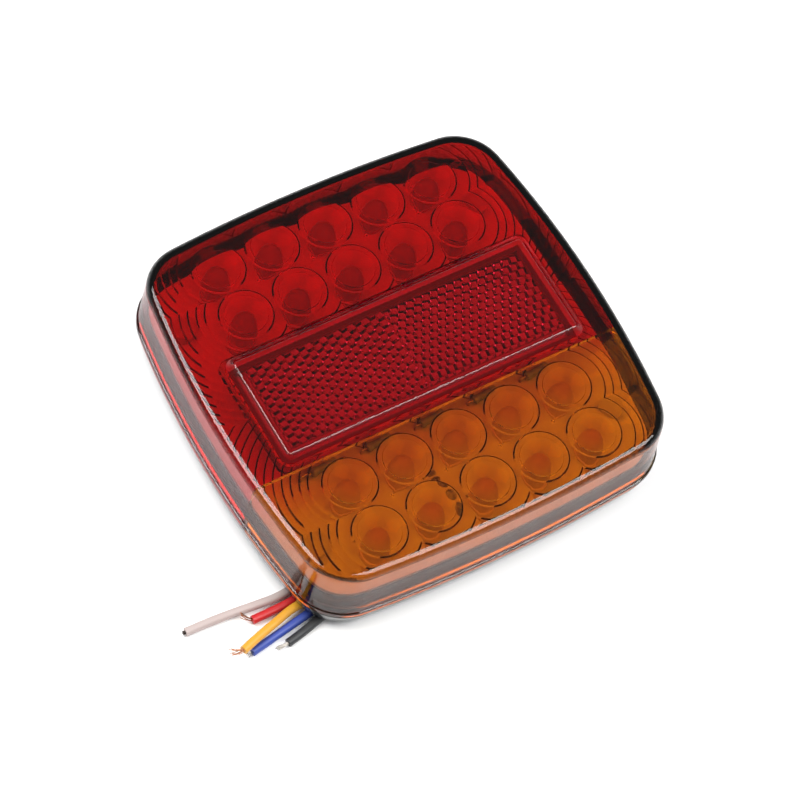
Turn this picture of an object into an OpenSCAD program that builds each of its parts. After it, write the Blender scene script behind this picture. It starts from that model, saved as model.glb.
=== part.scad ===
// Square LED tail light for a trailer: a two-colour lens with a reflex reflector, bonded onto a moulded
// back housing that holds a circuit board with twenty 5 mm LEDs. Five loose wires leave through the back.
// Lying on its back: +Z points out of the lens, +X runs along the LED rows, +Y points to the red end.

/* [Lens] */
// Half width of the flat face, from the middle to a long side
face_half_x = 48.6; // [48:0.1:49.2]
// Half height of the flat face, from the middle to the red or the amber end
face_half_y = 47.3; // [46.8:0.1:48]
// Radius of the corners of the flat face
corner_r = 10.5; // [9:0.5:11]
// How far the left and right sides bow out
bow_x = 2.6; // [2.2:0.1:3.2]
// How far the red and amber ends bow out
bow_y = 1.5; // [1.2:0.1:2.2]
// Radius of the rounded edge around the face
edge_r = 2.2; // [1.8:0.1:2.4]
// Thickness of the lens
lens_t = 2.2; // [2:0.1:2.4]
// Where the red moulding ends and the amber one starts
colour_split_y = -16.8; // [-17.2:0.1:-16.6]

/* [Reflex reflector] */
// Width of the raised plate
reflector_w = 78.2; // [74:0.2:79]
// Height of the raised plate
reflector_h = 26.6; // [24:0.2:26.8]
// How far the plate stands above the face
reflector_proud = 1.6; // [1:0.1:2]
// How far the plate's sides slope out from its top edge to the face
reflector_slope = 1.8; // [1:0.1:1.9]
// Width of the hidden flange that is bonded under the lens
reflector_flange = 1; // [0.6:0.1:1.2]

/* [Height] */
// Gap under the back plate, which the feet and bosses span
stand_off = 3.6; // [3.6:0.1:4]
// Thickness of the back plate
back_t = 2.4; // [2:0.1:2.6]
// Top of the housing's outer strip
strip_top = 7.2; // [7:0.1:7.4]
// Height of the flat face
face_z = 25; // [24.6:0.1:25.6]

/* [LEDs] */
// Distance between neighbours in a row
led_pitch = 14.5; // [14:0.1:14.8]
// Rows nearest the middle
led_row_near = 24.6; // [24.2:0.1:25]
// Rows nearest the ends
led_row_far = 38.2; // [38:0.1:38.6]
// Diameter of an LED
led_d = 5; // [3:0.5:5]

/* [Mounting] */
// Distance between the two threaded inserts
insert_spacing = 50; // [48:1:54]
// Radius of the threaded hole, for an M5 bolt
insert_hole_r = 2.1; // [2:0.1:2.3]
// Depth of the threaded hole
insert_depth = 8; // [6:0.5:8]

/* [Wires] */
// Outer diameter of a wire
wire_d = 2.1; // [1.9:0.1:2.1]
// Diameter of its copper core
core_d = 1.1; // [0.8:0.1:1.3]

/* [Hidden] */
eps = 0.01;

// Outline of the face: four shallow side arcs and four corner arcs that run into each other.
// A larger outline has the same arc centres, with its outset added to every radius.
side_steps = 9;
corner_steps = 9;
corner_x = face_half_x - corner_r - bow_x;
corner_y = face_half_y - corner_r - bow_y;
side_reach_x = (corner_y * corner_y + bow_x * bow_x) / (2 * bow_x);
side_reach_y = (corner_x * corner_x + bow_y * bow_y) / (2 * bow_y);
side_turn_x = asin(corner_y / side_reach_x);
side_turn_y = asin(corner_x / side_reach_y);

function arc(centre, r, from, to, steps) = [
    for (i = [0:steps - 1])
        let (a = from + (to - from) * i / steps)
            [centre[0] + r * cos(a), centre[1] + r * sin(a)]
];
function side(half, reach, turn, facing, outset) =
    arc([cos(facing) * (half - corner_r - reach), sin(facing) * (half - corner_r - reach)],
        reach + corner_r + outset, facing - turn, facing + turn, side_steps);
function corner(sx, sy, from, to, outset) =
    arc([sx * corner_x, sy * corner_y], corner_r + outset, from, to, corner_steps);
function outline(outset) = concat(
    side(face_half_x, side_reach_x, side_turn_x, 0, outset),
    corner(1, 1, side_turn_x, 90 - side_turn_y, outset),
    side(face_half_y, side_reach_y, side_turn_y, 90, outset),
    corner(-1, 1, 90 + side_turn_y, 180 - side_turn_x, outset),
    side(face_half_x, side_reach_x, side_turn_x, 180, outset),
    corner(-1, -1, 180 + side_turn_x, 270 - side_turn_y, outset),
    side(face_half_y, side_reach_y, side_turn_y, 270, outset),
    corner(1, -1, 270 + side_turn_y, 360 - side_turn_x, outset)
);

// Housing and lens profiles, as [outset from the face outline, height]
back_top = stand_off + back_t;
rim_top = 11;
rim_outset = 0.7;
rim_t = 1.6;
strip_outset = 3.3;
seal_top = strip_top + 0.6;
lip_top = 9;
lens_inner = face_z - lens_t;
housing_profile = [
    [strip_outset - 1, stand_off],
    [strip_outset - 0.7, stand_off + 0.4],
    [strip_outset - 0.1, strip_top - 0.5],
    [strip_outset - 0.3, strip_top],
    [rim_outset, strip_top],
    [rim_outset, rim_top],
    [rim_outset - rim_t, rim_top],
    [rim_outset - rim_t, back_top]
];
lens_profile = concat(
    [
        [-0.7, lens_inner],
        [0, lens_inner - 0.3],
        [0.3, lens_inner - 1],
        [0.9, lip_top],
        [1, seal_top],
        [strip_outset, seal_top],
        [strip_outset + 0.1, seal_top + 0.3],
        [strip_outset, lip_top],
        [edge_r + 0.7, lip_top + 0.3]
    ],
    [
        for (a = [0:18:90])
            [edge_r * cos(a), face_z - edge_r + edge_r * sin(a)]
    ]
);

// Circuit board and what stands on it
board_t = 1.6;
board_bottom = 10.9;
board_top = board_bottom + board_t;
board_outset = rim_outset - rim_t - 0.7;
post_x = 39;
post_y = 31.5;
led_r = led_d / 2;
led_h = 8.6;
leg_r = 0.25;
leg_gap = 1.27;
leg_end = board_bottom - 1.1;
part_leg_r = 0.3;
part_axis_z = board_top + 1.5;
part_leg_reach = 5;
resistor_rows = [13.5, -15.5];
diode_x = 12;
diode_ys = [6.5, 0, -6.5];

// Feet, bosses and the pocket that the wires leave through
foot_x = 40;
foot_y = 20;
foot_r = 4.5;
boss_r = 6.5;
insert_r = 3.5;
pocket = [18.5, 17];
pocket_centre = [-12.75, -31.5];
pocket_top = 8.2;
pocket_wall = 1.4;
outlet_x = -7.25;
outlet_y = -31.5;
wire_gap = 2.5;
wire_r = wire_d / 2;
neck_w = 4.4;
neck_l = 14.4;
flange = 0.9;

// Wire routes: down through the grommet, over to the floor, then along it and out past the corner
function drop(k) = [
    [outlet_x, outlet_y + k * wire_gap, board_bottom],
    [outlet_x, outlet_y + k * wire_gap, 8.6],
    [outlet_x, outlet_y + k * wire_gap, 6.2],
    [outlet_x - 0.7, outlet_y + k * wire_gap, 3.8],
    [outlet_x - 2.5, outlet_y + k * wire_gap, 1.8],
    [outlet_x - 5, outlet_y + k * wire_gap, 1.1]
];
route_white = concat(drop(2), [
    [-20, -26.9, 1.1], [-26, -27.9, 1.1], [-32, -29.6, 1.1], [-38, -31.5, 1.1], [-44, -33.1, 1.1],
    [-50, -33.9, 1.1], [-56, -33.5, 1.1], [-62, -32.9, 1.1], [-68, -32.5, 1.1], [-73.8, -32.3, 1.1]
]);
route_red = concat(drop(1), [
    [-18, -29.2, 1.1], [-23, -29.9, 1.1], [-28, -30.9, 1.1], [-33, -32.4, 1.1], [-38, -33.9, 1.1],
    [-43, -35.4, 1.1], [-48, -36.3, 1.1], [-53, -36.5, 1.1], [-58.6, -36.5, 1.1]
]);
route_yellow = concat(drop(0), [
    [-20, -31.9, 1.1], [-26, -32.9, 1.1], [-32, -34.5, 1.2], [-38, -36.3, 1.7], [-44, -37.9, 2.2],
    [-50, -38.7, 2.5], [-55, -40.1, 2.8], [-60, -41.5, 3.1], [-64.7, -43, 3.3]
]);
route_blue = concat(drop(-1), [
    [-20, -34.4, 1.1], [-25, -35.2, 1.1], [-30, -36.4, 1.1], [-35, -37.8, 1.1], [-40, -39.2, 1.1],
    [-45, -40.5, 1.1], [-50, -41.4, 1.1], [-56, -42.4, 1.1], [-62.5, -43.5, 1.1]
]);
route_black = concat(drop(-2), [
    [-18, -36.7, 1.1], [-23, -37.4, 1.1], [-28, -38.5, 1.1], [-33, -39.9, 1.1], [-38, -41.3, 1.1],
    [-42, -42.4, 1.1], [-46, -43.4, 1.1], [-50, -44.4, 1.1], [-54, -45.2, 1.1]
]);
wire_sides = 8;

// Closed solid from a profile of outsets and heights, with a flat cap at its first and last ring
module ring_stack(profile) {
    rings = len(profile);
    count = len(outline(0));
    points = [
        for (p = profile)
            for (q = outline(p[0]))
                [q[0], q[1], p[1]]
    ];
    walls = [
        for (r = [0:rings - 2])
            for (i = [0:count - 1])
                let (a = r * count + i, b = r * count + (i + 1) % count)
                    each [[a, a + count, b + count], [a, b + count, b]]
    ];
    bottom = [for (i = [0:count - 1]) i];
    top = [for (i = [count - 1:-1:0]) (rings - 1) * count + i];
    polyhedron(points, concat([bottom, top], walls), convexity = 6);
}

// Flat plate with the face's outline
module plate(outset, from, to) {
    translate([0, 0, from])
        linear_extrude(to - from)
            polygon(outline(outset));
}

// Box with round upright edges, centred on the Z axis and standing on z = 0
module rounded_box(w, l, h, r) {
    translate([-w / 2 + r, -l / 2, 0])
        cube([w - 2 * r, l, h]);
    translate([-w / 2, -l / 2 + r, 0])
        cube([w, l - 2 * r, h]);
    for (sx = [-1, 1], sy = [-1, 1])
        translate([sx * (w / 2 - r), sy * (l / 2 - r), 0])
            cylinder(h = h, r = r, $fn = 32);
}

module at_posts() {
    for (sx = [-1, 1], sy = [-1, 1])
        translate([sx * post_x, sy * post_y, 0])
            children();
}

module at_inserts() {
    for (sx = [-1, 1])
        translate([sx * insert_spacing / 2, 0, 0])
            children();
}

module at_leds(ends) {
    for (end = ends, row = [led_row_near, led_row_far], i = [-2:2])
        translate([i * led_pitch, end * row, 0])
            children();
}

module at_led_legs(ends) {
    at_leds(ends)
        for (side = [-1, 1])
            translate([side * leg_gap, 0, 0])
                children();
}

module at_resistors() {
    for (y = resistor_rows, i = [-2:2])
        translate([i * led_pitch, y, 0])
            children();
}

module at_diodes() {
    for (y = diode_ys)
        translate([diode_x, y, 0])
            children();
}

module at_part_legs() {
    for (side = [-1, 1])
        translate([side * part_leg_reach, 0, 0])
            children();
}

module at_wires() {
    for (k = [-2:2])
        translate([outlet_x, outlet_y + k * wire_gap, 0])
            children();
}

module base_housing() {
    color([0.09, 0.09, 0.1])
        difference() {
            union() {
                ring_stack(housing_profile);
                for (sx = [-1, 1], sy = [-1, 1])
                    translate([sx * foot_x, sy * foot_y, 0])
                        cylinder(h = stand_off + 1, r = foot_r, $fn = 40);
                at_inserts()
                    cylinder(h = insert_depth + 2, r = boss_r, $fn = 48);
                at_posts()
                    translate([0, 0, back_top - 1])
                        cylinder(h = board_bottom - back_top + 1, r = 3.25, $fn = 32);
                translate([pocket_centre[0], pocket_centre[1], back_top - 1])
                    rounded_box(pocket[0] + 2 * pocket_wall, pocket[1] + 2 * pocket_wall,
                        pocket_top + pocket_wall - back_top + 1, 3 + pocket_wall);
            }
            at_inserts()
                translate([0, 0, -1])
                    cylinder(h = insert_depth + 1, r = insert_r, $fn = 48);
            at_posts()
                translate([0, 0, back_top])
                    cylinder(h = board_bottom, r = 1.25, $fn = 24);
            translate([pocket_centre[0], pocket_centre[1], stand_off - 1])
                rounded_box(pocket[0], pocket[1], pocket_top - stand_off + 1, 3);
            translate([outlet_x, outlet_y, pocket_top - 1])
                rounded_box(neck_w, neck_l, 4, neck_w / 2 - eps);
        }
}

module mounting_inserts() {
    color([0.78, 0.62, 0.3])
        at_inserts()
            difference() {
                cylinder(h = insert_depth, r = insert_r, $fn = 48);
                translate([0, 0, -1])
                    cylinder(h = insert_depth + 2, r = insert_hole_r, $fn = 32);
            }
}

module cable_grommet() {
    color([0.13, 0.13, 0.13])
        difference() {
            translate([outlet_x, outlet_y, 0]) {
                translate([0, 0, pocket_top - 0.9])
                    rounded_box(neck_w + 2 * flange, neck_l + 2 * flange, 0.9, neck_w / 2);
                translate([0, 0, pocket_top - eps])
                    rounded_box(neck_w, neck_l, pocket_wall + 2 * eps, neck_w / 2 - eps);
                translate([0, 0, pocket_top + pocket_wall])
                    rounded_box(neck_w + 2 * flange, neck_l + 2 * flange, 0.8, neck_w / 2);
            }
            at_wires()
                translate([0, 0, pocket_top - 2])
                    cylinder(h = 6, r = wire_r, $fn = 32);
        }
}

module lens_seal() {
    color([0.16, 0.15, 0.16])
        difference() {
            plate(strip_outset - 0.5, strip_top, seal_top);
            plate(1, strip_top - 1, seal_top + 1);
        }
}

module lens_shell() {
    ring_stack(lens_profile);
}

module red_lens() {
    color([0.72, 0.05, 0.08, 0.75])
        difference() {
            lens_shell();
            translate([-100, colour_split_y - 100, 0])
                cube([200, 100, 50]);
            translate([0, 0, lens_inner - 1])
                reflector_foot(lens_t + 2, 0);
        }
}

module amber_lens() {
    color([0.85, 0.38, 0.03, 0.75])
        difference() {
            lens_shell();
            translate([-100, colour_split_y, 0])
                cube([200, 100, 50]);
        }
}

// Upright block with the outline of the reflector's foot, larger all round by a margin
module reflector_foot(h, margin) {
    reach = reflector_slope + margin;
    rounded_box(reflector_w + 2 * reach, reflector_h + 2 * reach, h, 2.5);
}

module reflex_reflector() {
    color([0.55, 0.02, 0.09]) {
        translate([0, 0, lens_inner - 1.2])
            reflector_foot(1.2, reflector_flange);
        translate([0, 0, lens_inner - eps])
            reflector_foot(lens_t + eps, 0);
        hull() {
            translate([0, 0, face_z - eps])
                reflector_foot(eps, 0);
            translate([0, 0, face_z + reflector_proud - eps])
                rounded_box(reflector_w, reflector_h, eps, 0.6);
        }
    }
}

module reflector_backing() {
    backing_top = lens_inner - 1.2;
    color([0.8, 0.8, 0.78])
        difference() {
            translate([-reflector_w / 2, -reflector_h / 2, backing_top - 2.6])
                cube([reflector_w, reflector_h, 2.6]);
            translate([-reflector_w / 2 + 1.2, -reflector_h / 2 + 1.2, backing_top - 1.4])
                cube([reflector_w - 2.4, reflector_h - 2.4, 3]);
        }
}

module circuit_board() {
    hole_h = board_t + 2;
    color([0.85, 0.87, 0.83])
        difference() {
            plate(board_outset, board_bottom, board_top);
            translate([0, 0, board_bottom - 1]) {
                at_posts()
                    cylinder(h = hole_h, r = 1.6, $fn = 24);
                at_led_legs([-1, 1])
                    cylinder(h = hole_h, r = leg_r + 0.15, $fn = 16);
                at_resistors()
                    at_part_legs()
                        cylinder(h = hole_h, r = part_leg_r + 0.15, $fn = 16);
                at_diodes()
                    at_part_legs()
                        cylinder(h = hole_h, r = part_leg_r + 0.15, $fn = 16);
                at_wires()
                    cylinder(h = hole_h, r = core_d / 2, $fn = 16);
            }
        }
}

module board_screws() {
    color([0.75, 0.75, 0.76])
        at_posts() {
            translate([0, 0, back_top + 0.6])
                cylinder(h = board_top - back_top, r = 1.25, $fn = 24);
            translate([0, 0, board_top])
                cylinder(h = 1.8, r = 2.8, $fn = 32);
        }
}

module led_body() {
    cylinder(h = 1, r = led_r + 0.4, $fn = 32);
    cylinder(h = led_h - led_r, r = led_r, $fn = 32);
    translate([0, 0, led_h - led_r])
        sphere(r = led_r, $fn = 32);
}

module red_leds() {
    color([0.9, 0.2, 0.15])
        at_leds([1])
            translate([0, 0, board_top])
                led_body();
}

module amber_leds() {
    color([0.95, 0.6, 0.15])
        at_leds([-1])
            translate([0, 0, board_top])
                led_body();
}

module led_legs(end) {
    at_led_legs([end])
        translate([0, 0, leg_end])
            cylinder(h = board_top - leg_end, r = leg_r, $fn = 16);
}

module red_led_legs() {
    color([0.75, 0.75, 0.75])
        led_legs(1);
}

module amber_led_legs() {
    color([0.75, 0.75, 0.75])
        led_legs(-1);
}

// Body of a resistor or diode, lying along X on its legs' axis
module lying_body(l, r, end_r) {
    rotate([0, 90, 0])
        rotate_extrude($fn = 24)
            polygon([
                [0, -l / 2], [end_r - 0.3, -l / 2], [end_r, -l / 2 + 0.3], [end_r, -l / 2 + 1.2],
                [r, -l / 2 + 1.6], [r, l / 2 - 1.6], [end_r, l / 2 - 1.2], [end_r, l / 2 - 0.3],
                [end_r - 0.3, l / 2], [0, l / 2]
            ]);
}

// The two bent wires of a lying part, from its ends down through the board
module lying_legs(body_l) {
    for (side = [-1, 1]) {
        translate([side * (body_l / 2 + part_leg_reach) / 2, 0, part_axis_z])
            rotate([0, 90, 0])
                cylinder(h = part_leg_reach - body_l / 2, r = part_leg_r, center = true, $fn = 16);
        translate([side * part_leg_reach, 0, part_axis_z])
            sphere(r = part_leg_r, $fn = 16);
        translate([side * part_leg_reach, 0, leg_end])
            cylinder(h = part_axis_z - leg_end, r = part_leg_r, $fn = 16);
    }
}

resistor_l = 6.2;
diode_l = 5.2;

module resistors() {
    color([0.45, 0.6, 0.75])
        at_resistors()
            translate([0, 0, part_axis_z])
                lying_body(resistor_l, 0.95, 1.15);
}

module resistor_legs() {
    color([0.78, 0.76, 0.74])
        at_resistors()
            lying_legs(resistor_l);
}

module diodes() {
    color([0.1, 0.1, 0.1])
        at_diodes()
            translate([0, 0, part_axis_z])
                lying_body(diode_l, 1.35, 1.35);
}

module diode_legs() {
    color([0.78, 0.76, 0.74])
        at_diodes()
            lying_legs(diode_l);
}

// Solder cone around a leg, on the underside of the board
module solder_cone(leg) {
    translate([0, 0, board_bottom])
        rotate_extrude($fn = 16)
            polygon([[leg, 0], [leg + 0.65, 0], [leg + 0.12, -0.9], [leg, -0.9]]);
}

module board_solder() {
    color([0.72, 0.72, 0.74]) {
        at_led_legs([-1, 1])
            solder_cone(leg_r);
        at_resistors()
            at_part_legs()
                solder_cone(part_leg_r);
        at_diodes()
            at_part_legs()
                solder_cone(part_leg_r);
    }
}

// Copper cores come up through the board and end in a mound of solder
module wire_solder() {
    color([0.74, 0.74, 0.76])
        at_wires()
            translate([0, 0, board_bottom]) {
                cylinder(h = board_t + 0.2, r = core_d / 2, $fn = 16);
                translate([0, 0, board_t])
                    cylinder(h = 0.9, r1 = 1.05, r2 = 0.5, $fn = 24);
            }
}

// Sweep of a regular polygon along a route of points
function unit(v) = v / norm(v);
function heading(p, i) = unit(
    i == 0 ? p[1] - p[0] : i == len(p) - 1 ? p[i] - p[i - 1] : unit(p[i + 1] - p[i]) + unit(p[i] - p[i - 1])
);
function across(t) = unit(cross(t, [0, 1, 0]));
function section(p, i, r) =
    let (t = heading(p, i), u = across(t), v = cross(t, u))
        [
            for (k = [0:wire_sides - 1])
                let (a = 360 * k / wire_sides)
                    p[i] + r * cos(a) * u + r * sin(a) * v
        ];

module tube(route, r) {
    rings = len(route);
    points = [for (i = [0:rings - 1]) each section(route, i, r)];
    walls = [
        for (j = [0:rings - 2])
            for (k = [0:wire_sides - 1])
                let (a = j * wire_sides + k, b = j * wire_sides + (k + 1) % wire_sides)
                    each [[a, a + wire_sides, b + wire_sides], [a, b + wire_sides, b]]
    ];
    start = [for (k = [0:wire_sides - 1]) k];
    end = [for (k = [wire_sides - 1:-1:0]) (rings - 1) * wire_sides + k];
    polyhedron(points, concat([start, end], walls), convexity = 8);
}

// Stripped core, straight on from the end of a route and turned up or down by a little
module core(route, l) {
    last = route[len(route) - 1];
    back = route[len(route) - 2];
    step = last - back;
    translate(last)
        rotate([0, 0, atan2(step[1], step[0])])
            rotate([0, 90, 0])
                cylinder(h = l, r = core_d / 2, $fn = 16);
}

module wire_white() {
    color([0.88, 0.84, 0.83])
        tube(route_white, wire_r);
}

module wire_red() {
    color([0.72, 0.08, 0.08])
        tube(route_red, wire_r);
}

module wire_yellow() {
    color([0.88, 0.68, 0.18])
        tube(route_yellow, wire_r);
}

module wire_blue() {
    color([0.16, 0.25, 0.6])
        tube(route_blue, wire_r);
}

module wire_black() {
    color([0.1, 0.1, 0.1])
        tube(route_black, wire_r);
}

module core_white() {
    color([0.45, 0.42, 0.4])
        core(route_white, 0.8);
}

module core_red() {
    color([0.7, 0.5, 0.4])
        core(route_red, 3);
}

module core_yellow() {
    color([0.75, 0.6, 0.5])
        core(route_yellow, 3);
}

module core_blue() {
    color([0.7, 0.65, 0.6])
        core(route_blue, 1.6);
}

module core_black() {
    color([0.65, 0.64, 0.62])
        core(route_black, 3.4);
}

base_housing();
mounting_inserts();
cable_grommet();
lens_seal();
red_lens();
amber_lens();
reflex_reflector();
reflector_backing();
circuit_board();
board_screws();
red_leds();
amber_leds();
red_led_legs();
amber_led_legs();
resistors();
resistor_legs();
diodes();
diode_legs();
board_solder();
wire_solder();
wire_white();
wire_red();
wire_yellow();
wire_blue();
wire_black();
core_white();
core_red();
core_yellow();
core_blue();
core_black();
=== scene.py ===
"""Looks of a square LED trailer tail light, built around its CAD frame.

The lamp lies on its back: +Z points out of the lens, +X runs along the rows of LEDs and +Y points to
the red end. Sizes in the classes are in millimetres; every finished mesh is in metres.
"""

from __future__ import annotations

import logging
import math
import random
from dataclasses import dataclass, field
from enum import Enum
from itertools import pairwise
from typing import Callable, Iterable, Sequence

import bmesh
import bpy
from mathutils import Matrix, Vector


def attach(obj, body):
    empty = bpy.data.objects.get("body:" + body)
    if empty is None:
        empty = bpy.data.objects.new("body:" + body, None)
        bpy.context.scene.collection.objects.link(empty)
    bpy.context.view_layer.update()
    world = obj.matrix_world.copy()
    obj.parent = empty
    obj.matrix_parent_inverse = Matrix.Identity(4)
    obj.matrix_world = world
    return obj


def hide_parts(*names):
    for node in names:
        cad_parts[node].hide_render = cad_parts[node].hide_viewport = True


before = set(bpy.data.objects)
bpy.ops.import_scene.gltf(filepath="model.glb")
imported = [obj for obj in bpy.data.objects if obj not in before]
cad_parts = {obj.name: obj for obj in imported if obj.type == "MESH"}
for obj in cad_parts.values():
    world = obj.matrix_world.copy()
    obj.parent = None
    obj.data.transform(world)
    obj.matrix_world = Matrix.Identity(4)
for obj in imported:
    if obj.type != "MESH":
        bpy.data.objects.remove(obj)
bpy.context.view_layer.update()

log = logging.getLogger("tail_light")
logging.basicConfig(level=logging.INFO, format="%(name)s: %(message)s")

MM = 0.001
BODY = "root"
Point = tuple[float, float, float]
Ring = list[tuple[float, float]]


# ---------------------------------------------------------------- materials


def linear(hex_colour: str, alpha: float = 1.0) -> tuple[float, float, float, float]:
    """Turns an sRGB hex colour into the linear colour that shaders use.

    Args:
        hex_colour: Six hex digits, with or without a leading #.
        alpha: The fourth value.

    Returns:
        Linear red, green and blue, and alpha.
    """
    digits = hex_colour.lstrip("#")
    channels = [int(digits[i : i + 2], 16) / 255 for i in (0, 2, 4)]
    curve = [c / 12.92 if c <= 0.04045 else ((c + 0.055) / 1.055) ** 2.4 for c in channels]
    return (curve[0], curve[1], curve[2], alpha)


def add_node(
    tree: bpy.types.NodeTree,
    kind: str,
    settings: dict[str, object] | None = None,
    inputs: dict[str | int, object] | None = None,
) -> bpy.types.Node:
    """Adds one shader node.

    Args:
        tree: The material's node tree.
        kind: The node's type name without its ShaderNode prefix.
        settings: Properties of the node.
        inputs: Socket name or number to a value, or to another node's output to link.

    Returns:
        The new node.
    """
    node = tree.nodes.new("ShaderNode" + kind)
    for name, value in (settings or {}).items():
        setattr(node, name, value)
    for socket, value in (inputs or {}).items():
        if isinstance(value, bpy.types.NodeSocket):
            tree.links.new(value, node.inputs[socket])
        else:
            node.inputs[socket].default_value = value
    return node


def blank_material(name: str) -> tuple[bpy.types.Material, bpy.types.NodeTree, bpy.types.Node]:
    """Makes a material that holds only its output node.

    Args:
        name: The material's name.

    Returns:
        The material, its node tree and the output node.
    """
    material = bpy.data.materials.new(name)
    material.use_nodes = True
    tree = material.node_tree
    tree.nodes.clear()
    return material, tree, add_node(tree, "OutputMaterial")


def noise_at(tree: bpy.types.NodeTree, feature_mm: float, detail: float = 3.0) -> bpy.types.Node:
    """Adds a noise pattern whose features measure about feature_mm.

    Args:
        tree: The material's node tree.
        feature_mm: Size of one blob.
        detail: Octaves of finer noise on top.

    Returns:
        The noise node.
    """
    place = add_node(tree, "TexCoord").outputs["Object"]
    scale = 1.0 / (feature_mm * MM)
    return add_node(tree, "TexNoise", None, {"Vector": place, "Scale": scale, "Detail": detail})


def relief(tree: bpy.types.NodeTree, pattern: bpy.types.Node, depth_mm: float) -> bpy.types.NodeSocket:
    """Turns a noise pattern into surface relief.

    Args:
        tree: The material's node tree.
        pattern: The noise node.
        depth_mm: Height of the relief.

    Returns:
        The bent normal.
    """
    heights = {"Height": pattern.outputs["Fac"], "Strength": 1.0, "Distance": depth_mm * MM}
    return add_node(tree, "Bump", None, heights).outputs[0]


@dataclass(frozen=True)
class SolidFinish:
    """An opaque surface: a base colour with slow blotches, uneven gloss and a fine moulded or drawn grain.

    Attributes:
        name: Material name.
        colour: Main colour, sRGB hex.
        shade: Colour that the blotches drift to, sRGB hex.
        roughness: Mean roughness.
        swing: How far the roughness moves each way.
        grain_mm: Size of the surface grain.
        grain_depth_mm: Height of the surface grain.
        metallic: 1 for bare metal.
        coat: Weight of a clear glossy layer.
        blotch_mm: Size of the colour blotches.
        sheen: Weight of the dusty look of rubber.
    """

    name: str
    colour: str
    shade: str
    roughness: float = 0.5
    swing: float = 0.08
    grain_mm: float = 0.4
    grain_depth_mm: float = 0.01
    metallic: float = 0.0
    coat: float = 0.0
    blotch_mm: float = 9.0
    sheen: float = 0.0

    def material(self) -> bpy.types.Material:
        """Builds the material."""
        made, tree, out = blank_material(self.name)
        blotches = noise_at(tree, self.blotch_mm)
        colour = add_node(
            tree,
            "Mix",
            {"data_type": "RGBA"},
            {0: blotches.outputs["Fac"], 6: linear(self.colour), 7: linear(self.shade)},
        )
        gloss = add_node(
            tree,
            "MapRange",
            None,
            {
                0: blotches.outputs["Fac"],
                1: 0.3,
                2: 0.7,
                3: self.roughness - self.swing,
                4: self.roughness + self.swing,
            },
        )
        grain = noise_at(tree, self.grain_mm, 2.0)
        shader = add_node(
            tree,
            "BsdfPrincipled",
            None,
            {
                "Base Color": colour.outputs[2],
                "Roughness": gloss.outputs[0],
                "Metallic": self.metallic,
                "Coat Weight": self.coat,
                "Coat Roughness": 0.08,
                "Sheen Weight": self.sheen,
                "Normal": relief(tree, grain, self.grain_depth_mm),
            },
        )
        tree.links.new(shader.outputs[0], out.inputs["Surface"])
        return made


@dataclass(frozen=True)
class ClearAcrylic:
    """Injection-moulded transparent acrylic: polished skin, colour that deepens with the thickness.

    Attributes:
        name: Material name.
        absorb: Linear colour that survives a long way through the plastic.
        density: How fast the other colours fade, per metre.
        roughness: Roughness of the polished skin.
        ripple_mm: Length of the slow waves that moulding leaves in the skin.
        ripple_depth_mm: Height of those waves.
    """

    name: str
    absorb: tuple[float, float, float]
    density: float
    roughness: float = 0.03
    ripple_mm: float = 7.0
    ripple_depth_mm: float = 0.02

    def material(self) -> bpy.types.Material:
        """Builds the material."""
        made, tree, out = blank_material(self.name)
        ripple = noise_at(tree, self.ripple_mm, 2.0)
        glass = add_node(
            tree,
            "BsdfPrincipled",
            None,
            {
                "Base Color": (1.0, 1.0, 1.0, 1.0),
                "Roughness": self.roughness,
                "IOR": 1.49,
                "Transmission Weight": 1.0,
                "Normal": relief(tree, ripple, self.ripple_depth_mm),
            },
        )
        lamp_way = add_node(tree, "BsdfTransparent")
        rays = add_node(tree, "LightPath")
        mix = add_node(
            tree,
            "MixShader",
            None,
            {0: rays.outputs["Is Shadow Ray"], 1: glass.outputs[0], 2: lamp_way.outputs[0]},
        )
        depth = add_node(
            tree,
            "VolumeAbsorption",
            None,
            {"Color": (*self.absorb, 1.0), "Density": self.density},
        )
        tree.links.new(mix.outputs[0], out.inputs["Surface"])
        tree.links.new(depth.outputs[0], out.inputs["Volume"])
        return made


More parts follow.
